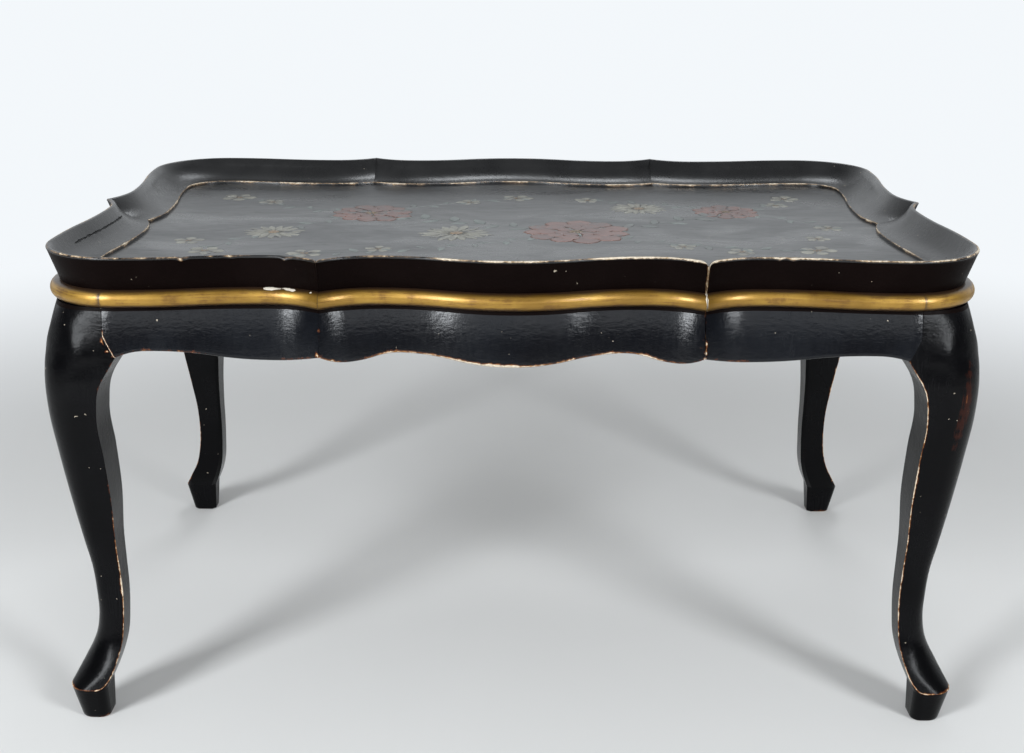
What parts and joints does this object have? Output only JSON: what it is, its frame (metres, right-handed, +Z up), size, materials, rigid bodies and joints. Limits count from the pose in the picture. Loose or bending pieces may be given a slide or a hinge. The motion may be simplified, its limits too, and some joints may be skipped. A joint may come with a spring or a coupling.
{
  "type": "tray top tea table",
  "caption": "Low lacquered table on cabriole legs, with scalloped serpentine aprons, a gilt moulding and a raised coved rim round a painted tray floor.",
  "frame": {"origin": "on the floor, under the middle of the tray", "axes": "+X along the long side to the right, +Y to the back, +Z up"},
  "size_m": [0.914, 0.606, 0.488],
  "materials": {
    "black_lacquer": "worn semi-gloss black lacquer on wood",
    "gilding": "aged gilding over gesso on wood",
    "painted_panel": "black lacquer painted with faded flowers",
    "plain_wood": "unfinished sawn wood"
  },
  "bodies": {
    "root": {"apron_back_centre": "black_lacquer", "apron_back_left": "black_lacquer", "apron_back_right": "black_lacquer", "apron_front_centre": "black_lacquer", "apron_front_left": "black_lacquer", "apron_front_right": "black_lacquer", "apron_joint_tongues": "plain_wood", "apron_left_back": "black_lacquer", "apron_left_front": "black_lacquer", "apron_right_back": "black_lacquer", "apron_right_front": "black_lacquer", "bearer_left": "plain_wood", "bearer_right": "plain_wood", "corner_block_back_left": "plain_wood", "corner_block_back_right": "plain_wood", "corner_block_front_left": "plain_wood", "corner_block_front_right": "plain_wood", "joint_block_back_left": "plain_wood", "joint_block_back_right": "plain_wood", "joint_block_front_left": "plain_wood", "joint_block_front_right": "plain_wood", "joint_block_left": "plain_wood", "joint_block_right": "plain_wood", "leg_back_left": "black_lacquer", "leg_back_right": "black_lacquer", "leg_front_left": "black_lacquer", "leg_front_right": "black_lacquer", "moulding_back_centre": "gilding", "moulding_back_left": "gilding", "moulding_back_right": "gilding", "moulding_corner_back_left": "gilding", "moulding_corner_back_right": "gilding", "moulding_corner_front_left": "gilding", "moulding_corner_front_right": "gilding", "moulding_front_centre": "gilding", "moulding_front_left": "gilding", "moulding_front_right": "gilding", "moulding_left_back": "gilding", "moulding_left_front": "gilding", "moulding_right_back": "gilding", "moulding_right_front": "gilding", "rim_back_centre": "black_lacquer", "rim_corner_back_left": "black_lacquer", "rim_corner_back_right": "black_lacquer", "rim_corner_front_left": "black_lacquer", "rim_corner_front_right": "black_lacquer", "rim_front_centre": "black_lacquer", "rim_joint_tongues": "plain_wood", "tray_floor": "painted_panel"}
  },
  "joints": []
}
